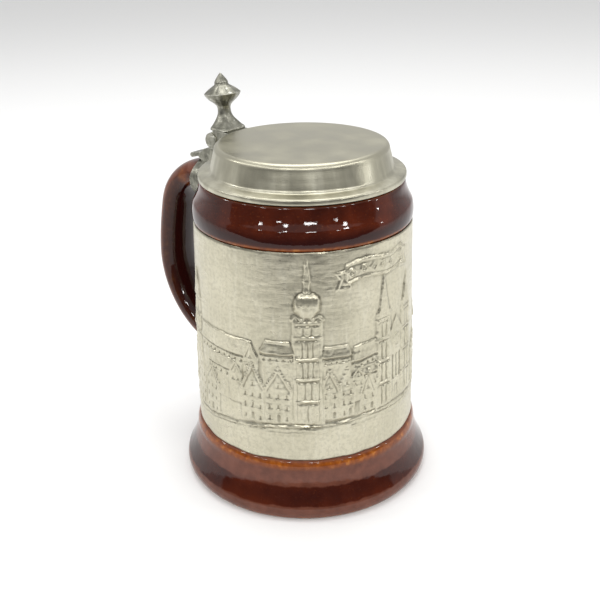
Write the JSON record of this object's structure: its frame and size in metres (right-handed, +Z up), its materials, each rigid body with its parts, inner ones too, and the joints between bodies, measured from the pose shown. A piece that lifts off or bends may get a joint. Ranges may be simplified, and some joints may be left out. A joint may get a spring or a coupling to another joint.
{
  "type": "lidded beer stein",
  "caption": "Half-litre glazed stoneware beer stein with a pewter relief band, handle strap and a hinged pewter lid with a finial thumblift.",
  "frame": {"origin": "on the mug's axis, in the plane of the foot ring", "axes": "+Z up along the mug's axis, -X towards the handle, Y along the hinge axis"},
  "size_m": [0.141, 0.1076, 0.1667],
  "materials": {
    "glazed_stoneware": "gloss",
    "relief_pewter": "satin",
    "lid_pewter": "satin",
    "pewter": "satin",
    "pin_steel": "satin"
  },
  "bodies": {
    "mug": {"stoneware_body": "glazed_stoneware", "handle": "glazed_stoneware", "relief_band": "relief_pewter", "handle_strap": "pewter"},
    "lid_assembly": {"lid": "lid_pewter", "lid_tang": "pewter", "thumblift": "pewter", "hinge_pin": "pin_steel", "hinge_caps": "pewter"}
  },
  "joints": [
    {"name": "lid_hinge", "type": "hinge", "parent": "mug", "child": "lid_assembly", "pos_m": [-0.0458, 0, 0.139], "axis": [0, -1, 0], "range_deg": [0, 96]}
  ]
}
